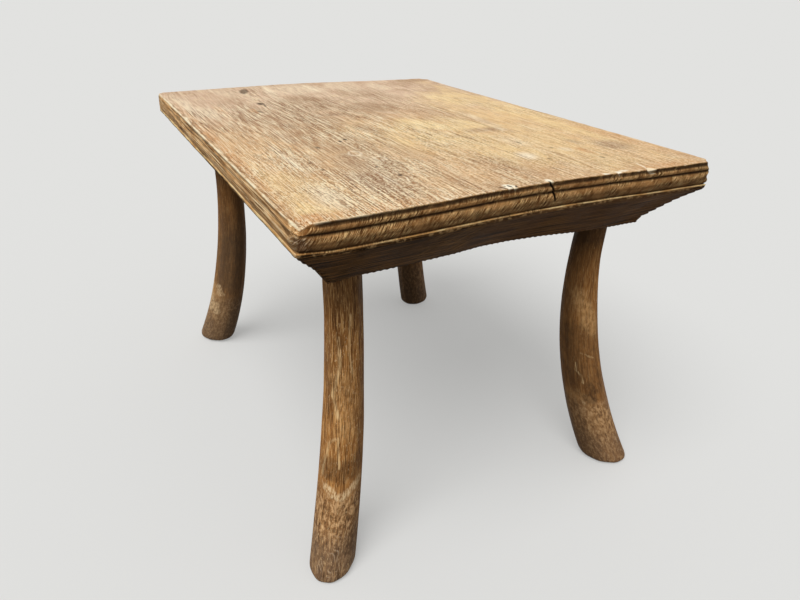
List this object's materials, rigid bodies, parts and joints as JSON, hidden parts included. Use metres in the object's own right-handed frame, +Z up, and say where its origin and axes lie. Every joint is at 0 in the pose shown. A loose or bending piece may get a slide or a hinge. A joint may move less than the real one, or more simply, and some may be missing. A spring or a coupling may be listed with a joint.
{
  "type": "side table",
  "caption": "Low rustic side table: a thick rectangular wooden slab with a moulded and chamfered edge on round bent legs that splay outward, joined by blind wedged tenons.",
  "frame": {"origin": "on the floor, under the middle of the top", "axes": "+X along the grain of the top, towards the front end; +Y across the grain; +Z up"},
  "size_m": [0.6005, 0.4662, 0.4235],
  "materials": {
    "top_wood": "bare, worn and faded",
    "leg_wood": "bare, worn smooth",
    "wedge_wood": "split hardwood"
  },
  "bodies": {
    "root": {"top_slab": "top_wood", "leg_front_left": "leg_wood", "leg_front_right": "leg_wood", "leg_back_left": "leg_wood", "leg_back_right": "leg_wood", "wedge_front_left": "wedge_wood", "wedge_front_right": "wedge_wood", "wedge_back_left": "wedge_wood", "wedge_back_right": "wedge_wood"}
  },
  "joints": []
}
